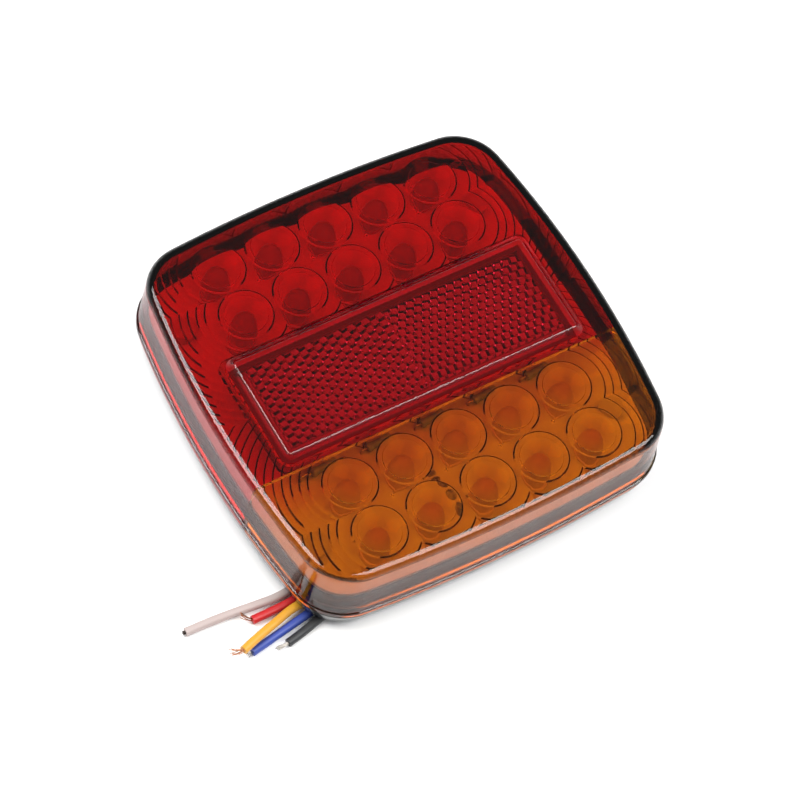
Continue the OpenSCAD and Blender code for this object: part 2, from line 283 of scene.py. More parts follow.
@dataclass(frozen=True)
class BandedBody:
    """A small part's lacquered body with colour bands painted round it, across its own X axis.

    Attributes:
        name: Material name.
        body: Body colour, sRGB hex.
        bands: Each band's place along the body, its half width, both in mm, and its colour.
        pitch_mm: Distance between neighbouring parts, so that one pattern serves the whole row.
        start_mm: X of the middle of any one part.
        roughness: Roughness of the lacquer.
    """

    name: str
    body: str
    bands: tuple[tuple[float, float, str], ...]
    pitch_mm: float
    start_mm: float
    roughness: float = 0.3

    def material(self) -> bpy.types.Material:
        """Builds the material."""
        made, tree, out = blank_material(self.name)
        place = add_node(tree, "TexCoord").outputs["Object"]
        x = add_node(tree, "SeparateXYZ", None, {0: place}).outputs[0]
        offset = (self.pitch_mm / 2 - self.start_mm) * MM
        moved = add_node(tree, "Math", {"operation": "ADD"}, {0: x, 1: offset})
        wrapped = add_node(
            tree,
            "Math",
            {"operation": "WRAP"},
            {0: moved.outputs[0], 1: self.pitch_mm * MM, 2: 0.0},
        )
        along = add_node(
            tree,
            "Math",
            {"operation": "SUBTRACT"},
            {0: wrapped.outputs[0], 1: self.pitch_mm / 2 * MM},
        )
        mottle = noise_at(tree, 0.8)
        colour = linear(self.body)
        for centre, half, hue in self.bands:
            inside = add_node(
                tree,
                "Math",
                {"operation": "COMPARE"},
                {0: along.outputs[0], 1: centre * MM, 2: half * MM},
            )
            colour = add_node(
                tree,
                "Mix",
                {"data_type": "RGBA"},
                {0: inside.outputs[0], 6: colour, 7: linear(hue)},
            ).outputs[2]
        bump = add_node(
            tree,
            "Bump",
            None,
            {"Height": mottle.outputs["Fac"], "Strength": 0.6, "Distance": 0.02 * MM},
        )
        shader = add_node(
            tree,
            "BsdfPrincipled",
            None,
            {"Base Color": colour, "Roughness": self.roughness, "Normal": bump.outputs[0]},
        )
        tree.links.new(shader.outputs[0], out.inputs["Surface"])
        return made


class Finish(Enum):
    """Every finish on the lamp, by what the real surface is."""

    # Two-shot acrylic: red keeps only red light, and goes maroon where it is thick
    RED_ACRYLIC = ClearAcrylic("red_moulded_acrylic", (0.82, 0.0, 0.05), 1700.0)
    # Amber passes red and some green, so thick places turn rust brown
    AMBER_ACRYLIC = ClearAcrylic("amber_moulded_acrylic", (0.825, 0.66, 0.0), 1700.0)
    # Reflector acrylic is a deeper crimson and polished harder
    CRIMSON_ACRYLIC = ClearAcrylic(
        "crimson_reflector_acrylic", (0.75, 0.1, 0.3), 700.0, 0.03, 9.0, 0.008
    )
    # ABS straight from a polished tool: near black with a soft gloss
    BLACK_ABS = SolidFinish(
        "black_moulded_abs", "#141516", "#1D1F20", 0.2, 0.07, 0.5, 0.004, coat=0.3
    )
    # The reflector's backing is the same resin in dark red
    RED_ABS = SolidFinish("dark_red_moulded_abs", "#B5202C", "#9C1824", 0.45, 0.08, 0.4, 0.01)
    SEALANT = SolidFinish("cured_black_sealant", "#1B1718", "#262021", 0.55, 0.1, 0.6, 0.03)
    EPDM_RUBBER = SolidFinish(
        "moulded_epdm_rubber", "#161616", "#202020", 0.7, 0.08, 0.3, 0.015, sheen=0.15
    )
    # White solder mask over glass-fibre laminate
    SOLDER_MASK = SolidFinish(
        "white_solder_mask", "#E9E8E0", "#DAD9CF", 0.35, 0.08, 0.6, 0.006, coat=0.2
    )
    ZINC_STEEL = SolidFinish(
        "zinc_plated_steel", "#E2E2DF", "#CFCFC9", 0.55, 0.08, 0.3, 0.006, metallic=0.8
    )
    TINNED_WIRE = SolidFinish(
        "tinned_wire", "#CFCDC8", "#ABA79F", 0.28, 0.1, 0.2, 0.004, metallic=1.0
    )
    SOLDER = SolidFinish("tin_solder", "#C8C9CB", "#9C9EA1", 0.3, 0.1, 0.5, 0.02, metallic=1.0)
    BRASS = SolidFinish("turned_brass", "#C9A253", "#A98238", 0.3, 0.08, 0.15, 0.01, metallic=1.0)
    # Diffused lamp epoxy is milky and tinted right through
    RED_EPOXY = SolidFinish("red_diffused_epoxy", "#D9564C", "#CE4A42", 0.4, 0.06, 0.5, 0.006)
    AMBER_EPOXY = SolidFinish("amber_diffused_epoxy", "#F7E9D2", "#F0DCC0", 0.4, 0.06, 0.5, 0.006)
    RESISTOR_LACQUER = BandedBody(
        "resistor_lacquer",
        "#DCCBA6",
        ((-1.9, 0.22, "#C8551B"), (-0.9, 0.22, "#30231B"), (0.1, 0.22, "#6A3A1E"), (1.9, 0.25, "#B8913A")),
        14.5,
        0.0,
    )
    DIODE_EPOXY = BandedBody(
        "diode_epoxy", "#17181A", ((-1.7, 0.4, "#B9BABB"),), 40.0, 12.0, 0.4
    )
    # PVC insulation is dull and takes on a little grime
    WHITE_PVC = SolidFinish("white_pvc", "#B5A8A5", "#A6948F", 0.5, 0.08, 0.5, 0.01)
    RED_PVC = SolidFinish("red_pvc", "#C11F24", "#A5161B", 0.45, 0.08, 0.5, 0.01)
    YELLOW_PVC = SolidFinish("yellow_pvc", "#D29A2C", "#C2851C", 0.45, 0.08, 0.5, 0.01)
    BLUE_PVC = SolidFinish("blue_pvc", "#31489E", "#263A86", 0.45, 0.08, 0.5, 0.01)
    BLACK_PVC = SolidFinish("black_pvc", "#1C1D1F", "#26282A", 0.5, 0.1, 0.5, 0.012)
    BARE_COPPER = SolidFinish(
        "bare_copper_strand", "#C98F6B", "#9A6A50", 0.35, 0.1, 0.2, 0.004, metallic=1.0
    )
    TINNED_COPPER = SolidFinish(
        "tinned_copper_strand", "#BDB8B0", "#8F8A84", 0.35, 0.1, 0.2, 0.004, metallic=1.0
    )
    OXIDISED_COPPER = SolidFinish(
        "oxidised_copper_strand", "#5C5450", "#3E3734", 0.5, 0.1, 0.2, 0.006, metallic=1.0
    )
    # Matt paper floor under the lamp
    STUDIO_PAPER = SolidFinish("studio_paper", "#FCFCFC", "#FAFAFA", 0.75, 0.05, 2.0, 0.01)

    def material(self) -> bpy.types.Material:
        """Returns this finish's material, made on first use."""
        return bpy.data.materials.get(self.value.name) or self.value.material()


# ------------------------------------------------------------ mesh helpers


def ring_edges(mesh: bmesh.types.BMesh, ring: Ring, z: float) -> list[bmesh.types.BMEdge]:
    """Adds a closed loop of edges at one height.

    Args:
        mesh: The mesh that gets the loop.
        ring: Points of the loop in order.
        z: Height of the loop.

    Returns:
        The loop's edges.
    """
    verts = [mesh.verts.new((x, y, z)) for x, y in ring]
    return [mesh.edges.new((a, b)) for a, b in zip(verts, verts[1:] + verts[:1])]


def loft(rings: Sequence[tuple[Ring, float]]) -> bmesh.types.BMesh:
    """Skins a stack of rings into a closed solid.

    Args:
        rings: Each ring with its height, all with the same number of points.

    Returns:
        The solid.
    """
    mesh = bmesh.new()
    loops = [ring_edges(mesh, ring, z) for ring, z in rings]
    for lower, upper in pairwise(loops):
        bmesh.ops.bridge_loops(mesh, edges=lower + upper)
    bmesh.ops.contextual_create(mesh, geom=loops[0])
    bmesh.ops.contextual_create(mesh, geom=loops[-1])
    bmesh.ops.recalc_face_normals(mesh, faces=mesh.faces[:])
    return mesh


def turned(profile: Sequence[tuple[float, float]], steps: int) -> bmesh.types.BMesh:
    """Spins a profile of radii and heights about the Z axis.

    Args:
        profile: Points from one end of the axis to the other.
        steps: How many steps make the full turn.

    Returns:
        The turned skin, closed if the profile starts and ends on the axis.
    """
    mesh = bmesh.new()
    verts = [mesh.verts.new((r, 0.0, z)) for r, z in profile]
    edges = [mesh.edges.new(pair) for pair in pairwise(verts)]
    bmesh.ops.spin(
        mesh,
        geom=verts + edges,
        cent=(0, 0, 0),
        axis=(0, 0, 1),
        angle=math.tau,
        steps=steps,
        use_merge=True,
    )
    bmesh.ops.remove_doubles(mesh, verts=mesh.verts[:], dist=1e-4)
    bmesh.ops.recalc_face_normals(mesh, faces=mesh.faces[:])
    return mesh


def merge_in(target: bmesh.types.BMesh, source: bmesh.types.BMesh, place: Matrix) -> None:
    """Copies one mesh into another at a place, and frees it.

    Args:
        target: The mesh that grows.
        source: The mesh that is copied and freed.
        place: Where the copy goes.
    """
    bmesh.ops.transform(source, matrix=place, verts=source.verts[:])
    store = bpy.data.meshes.new("transfer")
    source.to_mesh(store)
    source.free()
    target.from_mesh(store)
    bpy.data.meshes.remove(store)


def as_object(mesh: bmesh.types.BMesh, name: str) -> bpy.types.Object:
    """Turns a mesh under construction into a linked object, and frees it."""
    data = bpy.data.meshes.new(name)
    mesh.to_mesh(data)
    mesh.free()
    made = bpy.data.objects.new(name, data)
    bpy.context.scene.collection.objects.link(made)
    return made


def cylinder(
    radius: float, low: float, high: float, at: tuple[float, float], steps: int = 48
) -> bmesh.types.BMesh:
    """Makes an upright closed cylinder.

    Args:
        radius: Its radius.
        low: Height of its lower end.
        high: Height of its upper end.
        at: X and Y of its axis.
        steps: Sides.

    Returns:
        The cylinder.
    """
    mesh = bmesh.new()
    bmesh.ops.create_cone(
        mesh, cap_ends=True, segments=steps, radius1=radius, radius2=radius, depth=high - low
    )
    bmesh.ops.translate(mesh, vec=(at[0], at[1], (low + high) / 2), verts=mesh.verts[:])
    return mesh


def block(low: Point, high: Point) -> bmesh.types.BMesh:
    """Makes a box between two corners."""
    mesh = bmesh.new()
    bmesh.ops.create_cube(mesh, size=1.0)
    size = [b - a for a, b in zip(low, high)]
    middle = [(a + b) / 2 for a, b in zip(low, high)]
    bmesh.ops.scale(mesh, vec=size, verts=mesh.verts[:])
    bmesh.ops.translate(mesh, vec=middle, verts=mesh.verts[:])
    return mesh


def trim(skin: bmesh.types.BMesh, sides: Iterable[tuple[tuple[float, float], tuple[float, float]]]) -> None:
    """Cuts a skin off at upright planes.

    Args:
        skin: The skin.
        sides: Each plane as a point on it and its outward direction, both X and Y.
    """
    for point, outward in sides:
        bmesh.ops.bisect_plane(
            skin,
            geom=skin.verts[:] + skin.edges[:] + skin.faces[:],
            dist=1e-5,
            plane_co=(*point, 0),
            plane_no=(*outward, 0),
            clear_outer=True,
        )


class Cut(Enum):
    """How two solids combine."""

    KEEP_BOTH = "UNION"
    TAKE_AWAY = "DIFFERENCE"
    KEEP_SHARED = "INTERSECT"


def combine(base: bpy.types.Object, tool_mesh: bmesh.types.BMesh, how: Cut) -> None:
    """Combines a solid with another one, which is used up.

    Args:
        base: The solid that changes.
        tool_mesh: The other solid.
        how: The boolean operation.
    """
    tool = as_object(tool_mesh, "tool")
    step = base.modifiers.new("cut", "BOOLEAN")
    step.operation = how.value
    step.solver = "MANIFOLD"
    step.object = tool
    depsgraph = bpy.context.evaluated_depsgraph_get()
    result = bpy.data.meshes.new_from_object(base.evaluated_get(depsgraph))
    base.modifiers.clear()
    old = base.data
    base.data = result
    bpy.data.meshes.remove(old)
    old = tool.data
    bpy.data.objects.remove(tool)
    bpy.data.meshes.remove(old)


def set_finish(piece: bpy.types.Object, finish: Finish) -> None:
    """Gives a piece one material."""
    piece.data.materials.clear()
    piece.data.materials.append(finish.material())


def complete(
    piece: bpy.types.Object,
    finish: Finish,
    replaces: Iterable[str] = (),
    sharp_deg: float = 32.0,
) -> bpy.types.Object:
    """Finishes a piece that was modelled in millimetres: shading, scale, material and its place in the frame.

    Args:
        piece: The piece.
        finish: Its finish.
        replaces: CAD nodes that it stands for.
        sharp_deg: Edges that turn by more than this stay crisp.

    Returns:
        The piece.
    """
    mesh = bmesh.new()
    mesh.from_mesh(piece.data)
    bmesh.ops.scale(mesh, vec=(MM, MM, MM), verts=mesh.verts[:])
    limit = math.radians(sharp_deg)
    for edge in mesh.edges:
        edge.smooth = edge.is_manifold and edge.calc_face_angle(0.0) < limit
    for face in mesh.faces:
        face.smooth = True
    mesh.to_mesh(piece.data)
    mesh.free()
    set_finish(piece, finish)
    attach(piece, BODY)
    if replaces:
        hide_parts(*replaces)
    log.info("%s: %d faces", piece.name, len(piece.data.polygons))
    return piece


# ------------------------------------------------------------- the outline


@dataclass
class Outline:
    """The lamp's face outline: four shallow side arcs that run into four corner arcs.

    Attributes:
        half_x: Half width at the middle of the left and right sides.
        half_y: Half height at the middle of the ends.
        corner_r: Radius of the corners.
        bow_x: How far the left and right sides bow out.
        bow_y: How far the ends bow out.
    """

    half_x: float = 48.6
    half_y: float = 47.3
    corner_r: float = 10.5
    bow_x: float = 2.6
    bow_y: float = 1.5

    def ring(self, outset: float, side_steps: int = 28, corner_steps: int = 22) -> Ring:
        """Works out the outline, moved outwards by outset all round.

        Args:
            outset: Distance outwards, or inwards if negative.
            side_steps: Points along each side arc.
            corner_steps: Points along each corner arc.

        Returns:
            The points, anticlockwise.
        """
        corner_x = self.half_x - self.corner_r - self.bow_x
        corner_y = self.half_y - self.corner_r - self.bow_y
        reach_x = (corner_y**2 + self.bow_x**2) / (2 * self.bow_x)
        reach_y = (corner_x**2 + self.bow_y**2) / (2 * self.bow_y)
        turn_x = math.asin(corner_y / reach_x)
        turn_y = math.asin(corner_x / reach_y)
        quarter = math.pi / 2
        points: Ring = []
        for index, (sx, sy) in enumerate(((1, 1), (-1, 1), (-1, -1), (1, -1))):
            facing = index * quarter
            along_x = index % 2 == 0
            half, reach, turn = (
                (self.half_x, reach_x, turn_x) if along_x else (self.half_y, reach_y, turn_y)
            )
            back = half - self.corner_r - reach
            centre = (math.cos(facing) * back, math.sin(facing) * back)
            radius = reach + self.corner_r + outset
            points += self._arc(centre, radius, facing - turn, facing + turn, side_steps)
            next_turn = turn_y if along_x else turn_x
            points += self._arc(
                (sx * corner_x, sy * corner_y),
                self.corner_r + outset,
                facing + turn,
                facing + quarter - next_turn,
                corner_steps,
            )
        return points

    @staticmethod
    def _arc(centre: tuple[float, float], radius: float, start: float, end: float, steps: int) -> Ring:
        """Points along an arc, without its end point."""
        angles = [start + (end - start) * i / steps for i in range(steps)]
        return [(centre[0] + radius * math.cos(a), centre[1] + radius * math.sin(a)) for a in angles]

    def solid(self, profile: Sequence[tuple[float, float]]) -> bmesh.types.BMesh:
        """Lofts a profile of outsets and heights round the outline."""
        return loft([(self.ring(outset), z) for outset, z in profile])

    def fluted_solid(
        self, profile: Sequence[tuple[float, float]], pitch: float, depth: float
    ) -> bmesh.types.BMesh:
        """Lofts a profile whose walls carry fine upright flutes.

        Args:
            profile: Outsets and heights.
            pitch: Distance between flutes.
            depth: How far the flutes stand in.

        Returns:
            The solid.
        """
        side_steps = 2 * round(self.half_y * 0.84 / pitch)
        corner_steps = 2 * round(self.corner_r * 1.3 / pitch / 2)
        rings = []
        for outset, z in profile:
            outer = self.ring(outset, side_steps, corner_steps)
            inner = self.ring(outset - depth, side_steps, corner_steps)
            rings.append(([outer[i] if i % 2 else inner[i] for i in range(len(outer))], z))
        return loft(rings)


def rounded_rectangle(half_w: float, half_h: float, radius: float, steps: int = 8) -> Ring:
    """Points of a rectangle with round corners, centred on the origin.

    Args:
        half_w: Half its width.
        half_h: Half its height.
        radius: Corner radius.
        steps: Points in each corner.

    Returns:
        The points, anticlockwise.
    """
    points: Ring = []
    for index, (sx, sy) in enumerate(((1, 1), (-1, 1), (-1, -1), (1, -1))):
        for i in range(steps + 1):
            angle = math.pi / 2 * (index + i / steps)
            points.append(
                (
                    sx * (half_w - radius) + radius * math.cos(angle),
                    sy * (half_h - radius) + radius * math.sin(angle),
                )
            )
    return points


# ------------------------------------------------------------------- lens


@dataclass
class LedGrid:
    """Where the twenty LEDs stand: two rows of five at the amber end and two at the red end.

    Attributes:
        pitch: Distance between neighbours in a row.
        near: Distance of the inner rows from the middle.
        far: Distance of the outer rows from the middle.
    """

    pitch: float = 14.5
    near: float = 24.6
    far: float = 38.2

    def places(self, ends: Sequence[int] = (-1, 1)) -> list[tuple[float, float]]:
        """Centres of the LEDs at the given ends: -1 is amber and 1 is red."""
        rows = (self.near, self.far)
        return [(i * self.pitch, end * row) for end in ends for row in rows for i in range(-2, 3)]


@dataclass
class LensOptics:
    """The stepped bull's-eye pattern moulded into the lens's inner face, one set of rings to each LED.

    Attributes:
        level: Height of the inner face.
        dome_r: Radius of each central dome.
        dome_sag: How far a dome stands down towards its LED.
        rings: Radii where a new step starts.
        step: Height of a step.
        step_width: How far a step's riser leans.
        turn_steps: Steps in the full turn of a ring.
    """

    level: float = 22.8
    dome_r: float = 5.1
    dome_sag: float = 0.9
    rings: tuple[float, ...] = (5.2, 6.7, 9.95, 11.9, 13.9, 15.9, 17.9, 19.9, 21.9, 23.9, 25.9, 27.9, 29.9)
    step: float = 0.42
    step_width: float = 0.35
    turn_steps: int = 72

    def profile(self) -> list[tuple[float, float]]:
        """Radii and heights of the pattern, from an LED's axis outwards."""
        points = []
        dome_points = 8
        for i in range(dome_points + 1):
            r = self.dome_r * i / dome_points
            points.append((r, self.level - self.dome_sag * (1 - (r / self.dome_r) ** 2)))
        for start, end in pairwise((*self.rings, 34.0)):
            points.append((start, self.level - self.step))
            points.append((end - self.step_width, self.level - 0.04))
        return points

    def cell(self, grid: LedGrid, place: tuple[float, float]) -> bmesh.types.BMesh:
        """One LED's share of the pattern, cut off half-way to its neighbours.

        Args:
            grid: The LEDs.
            place: This LED's centre.

        Returns:
            The open skin.
        """
        skin = turned(self.profile(), self.turn_steps)
        bmesh.ops.translate(skin, vec=(place[0], place[1], 0), verts=skin.verts[:])
        end = math.copysign(1, place[1])
        row_gap = (grid.near + grid.far) / 2
        is_near = abs(place[1]) < row_gap
        inner_y, outer_y = (0.0, row_gap) if is_near else (row_gap, 56.0)
        column = round(place[0] / grid.pitch)
        cuts = [((0, end * outer_y), (0, end)), ((0, end * inner_y), (0, -end))]
        left = (column - 0.5) * grid.pitch if column > -2 else -56.0
        right = (column + 0.5) * grid.pitch if column < 2 else 56.0
        cuts += [((right, 0), (1, 0)), ((left, 0), (-1, 0))]
        trim(skin, cuts)
        return skin

    def block(self, grid: LedGrid, floor: float) -> bmesh.types.BMesh:
        """A solid whose top is the whole pattern, for cutting the lens's hollow.

        Args:
            grid: The LEDs.
            floor: Height of the solid's flat underside.

        Returns:
            The solid.
        """
        solid = bmesh.new()
        for place in grid.places():
            merge_in(solid, self.cell(grid, place), Matrix.Identity(4))
        bmesh.ops.remove_doubles(solid, verts=solid.verts[:], dist=2e-3)
        close_below(solid, floor)
        return solid


def close_below(skin: bmesh.types.BMesh, floor: float) -> None:
    """Turns an open relief into a solid, with upright sides and a flat underside.

    Args:
        skin: The relief.
        floor: Height of the underside.
    """
    rim = [edge for edge in skin.edges if edge.is_boundary]
    dropped = bmesh.ops.extrude_edge_only(skin, edges=rim)["geom"]
    for item in dropped:
        if isinstance(item, bmesh.types.BMVert):
            item.co.z = floor
    bottom = [edge for edge in skin.edges if edge.is_boundary]
    bmesh.ops.holes_fill(skin, edges=bottom, sides=0)
    bmesh.ops.recalc_face_normals(skin, faces=skin.faces[:])


@dataclass
class Lens:
    """The two-colour cover: a thin box with a rounded edge, stepped optics and a reflector window.

    Attributes:
        outline: The face outline.
        grid: The LEDs behind it.
        optics: The pattern on its inner face.
        rim_z: Height of its lower edge.
        face_z: Height of its face.
        edge_r: Radius of the edge round the face.
        crown: How far the middle of the face stands above its edge.
        split_y: Where red ends and amber starts.
        seam: Gap between the two shots.
    """

    outline: Outline
    grid: LedGrid
    optics: LensOptics = field(default_factory=LensOptics)
    rim_z: float = 7.8
    face_z: float = 25.0
    edge_r: float = 2.2
    crown: float = 0.25
    split_y: float = -16.8
    seam: float = 0.02

    def outer(self) -> bmesh.types.BMesh:
        """The outside of the lens as a full solid."""
        profile = [(3.2, self.rim_z), (3.4, self.rim_z + 0.15), (3.42, self.rim_z + 0.9)]
        profile += [(3.3, self.rim_z + 1.25), (3.0, self.rim_z + 1.4), (2.9, self.rim_z + 1.7)]
        turns = 8
        for i in range(turns + 1):
            angle = math.pi / 2 * i / turns
            profile.append(
                (self.edge_r * math.cos(angle), self.face_z - self.edge_r * (1 - math.sin(angle)))
            )
        rings = [(self.outline.ring(outset), z) for outset, z in profile]
        edge = self.outline.ring(0.0)
        for scale in (0.96, 0.88, 0.75, 0.6, 0.42, 0.25):
            height = self.face_z + self.crown * (1 - scale**2)
            rings.append(([(x * scale, y * scale) for x, y in edge], height))
        return loft(rings)

    def hollow(self) -> bpy.types.Object:
        """The space inside the lens, whose top is the stepped optics and whose walls are fluted."""
        profile = [(1.0, 5.0), (1.0, self.rim_z), (0.9, self.rim_z + 1.2), (0.35, 21.6)]
        profile += [(0.1, 22.3), (-0.5, 22.75), (-1.0, 23.1)]
        space = as_object(self.outline.fluted_solid(profile, 1.0, 0.08), "lens_hollow")
        combine(space, self.optics.block(self.grid, 5.0), Cut.KEEP_SHARED)
        return space

    def build(self, window: bmesh.types.BMesh) -> list[bpy.types.Object]:
        """Builds both mouldings.

        Args:
            window: Solid that the reflector's window is cut with.

        Returns:
            The red piece and the amber piece.
        """
        shell = as_object(self.outer(), "lens_red")
        space = self.hollow()
        tool = bmesh.new()
        tool.from_mesh(space.data)
        bpy.data.objects.remove(space)
        combine(shell, tool, Cut.TAKE_AWAY)
        combine(shell, window, Cut.TAKE_AWAY)
        amber = shell.copy()
        amber.data = shell.data.copy()
        amber.name = "lens_amber"
        bpy.context.scene.collection.objects.link(amber)
        half = self.seam / 2
        combine(shell, block((-80, -80, 0), (80, self.split_y + half, 60)), Cut.TAKE_AWAY)
        combine(amber, block((-80, self.split_y - half, 0), (80, 80, 60)), Cut.TAKE_AWAY)
        return [
            complete(shell, Finish.RED_ACRYLIC, ["red_lens"]),
            complete(amber, Finish.AMBER_ACRYLIC, ["amber_lens"]),
        ]


# --------------------------------------------------------------- reflector


@dataclass
class Reflector:
    """The raised reflex reflector: a sloped-sided plate over fields of cube-corner prisms.

    Attributes:
        half_w: Half width of its flat top.
        half_h: Half height of its flat top.
        slope: How far its sides slope out.
        flange: How far its hidden flange reaches under the lens.
        under_z: Height of the flange's underside.
        lens_z: Height of the lens's inner face.
        face_z: Height of the lens's face.
        top_z: Height of its flat top.
        prism_pitch: Distance across a prism, flat to flat.
        prism_top: Height of the highest prism corners.
        border: Plain edge left round the prisms.
    """

    half_w: float = 39.1
    half_h: float = 13.3
    slope: float = 1.8
    flange: float = 1.0
    under_z: float = 21.6
    lens_z: float = 22.8
    face_z: float = 25.0
    top_z: float = 26.6
    prism_pitch: float = 2.2
    prism_top: float = 24.0
    border: float = 2.2

    def foot(self, low: float, high: float, margin: float) -> bmesh.types.BMesh:
        """Upright block with the outline of the plate's foot, larger by margin."""
        reach = self.slope + margin
        ring = rounded_rectangle(self.half_w + reach, self.half_h + reach, 2.5)
        return loft([(ring, low), (ring, high)])

    def plate(self) -> bmesh.types.BMesh:
        """The plate with its flange, before the prisms are cut."""
        # Each ring's reach past the flat top, corner radius and height
        steps = (
            (self.slope + self.flange, 2.5, self.under_z),
            (self.slope + self.flange, 2.5, self.lens_z - 0.02),
            (self.slope, 2.5, self.lens_z),
            (self.slope, 2.5, self.face_z),
            (0.15, 0.8, self.top_z - 0.35),
            (0.0, 0.7, self.top_z - 0.12),
            (-0.22, 0.6, self.top_z),
        )
        rings = [
            (rounded_rectangle(self.half_w + reach, self.half_h + reach, radius), z)
            for reach, radius, z in steps
        ]
        return loft(rings)

    def prism_field(self, left: float, right: float, turn_deg: float) -> bmesh.types.BMesh:
        """A solid whose top is a field of cube-corner prisms, apex down.

        Args:
            left: X of its left side.
            right: X of its right side.
            turn_deg: How far the whole honeycomb is turned.

        Returns:
            The solid.
        """
        across = self.prism_pitch
        corner = across / math.sqrt(3)
        depth = corner / math.sqrt(2)
        half_h = self.half_h - self.border
        middle = (left + right) / 2
        reach = math.hypot((right - left) / 2, half_h) + 2 * across
        field_mesh = bmesh.new()
        rows = math.ceil(reach / (1.5 * corner))
        columns = math.ceil(reach / across)
        for row in range(-rows, rows + 1):
            for column in range(-columns, columns + 1):
                x = (column + 0.5 * (row % 2)) * across
                y = row * 1.5 * corner
                if math.hypot(x, y) > reach:
                    continue
                made = bmesh.ops.create_circle(field_mesh, cap_ends=True, segments=6, radius=corner)
                bmesh.ops.translate(field_mesh, vec=(x, y, self.prism_top), verts=made["verts"])
                rim = sorted(
                    made["verts"], key=lambda v: math.atan2(v.co.y - y, v.co.x - x)
                )
                for low_corner in rim[::2]:
                    low_corner.co.z -= depth
                face = made["verts"][0].link_faces[0]
                centre = bmesh.ops.poke(field_mesh, faces=[face])["verts"][0]
                centre.co = (x, y, self.prism_top - 2 * depth)
        bmesh.ops.remove_doubles(field_mesh, verts=field_mesh.verts[:], dist=1e-3)
        turn = Matrix.Rotation(math.radians(turn_deg), 4, "Z")
        bmesh.ops.transform(
            field_mesh, matrix=Matrix.Translation((middle, 0, 0)) @ turn, verts=field_mesh.verts[:]
        )
        sides = [((right, 0), (1, 0)), ((left, 0), (-1, 0)), ((0, half_h), (0, 1)), ((0, -half_h), (0, -1))]
        trim(field_mesh, sides)
        close_below(field_mesh, self.under_z - 1.0)
        return field_mesh

    def build(self) -> bpy.types.Object:
        """Builds the reflector plate."""
        piece = as_object(self.plate(), "reflector_plate")
        limit = self.half_w - self.border
        zones = ((-limit, -0.15, 30.0), (0.15, limit, 0.0))
        for left, right, turn in zones:
            combine(piece, self.prism_field(left, right, turn), Cut.TAKE_AWAY)
        return complete(piece, Finish.CRIMSON_ACRYLIC, ["reflex_reflector"], 20.0)


# ----------------------------------------------------------------- housing


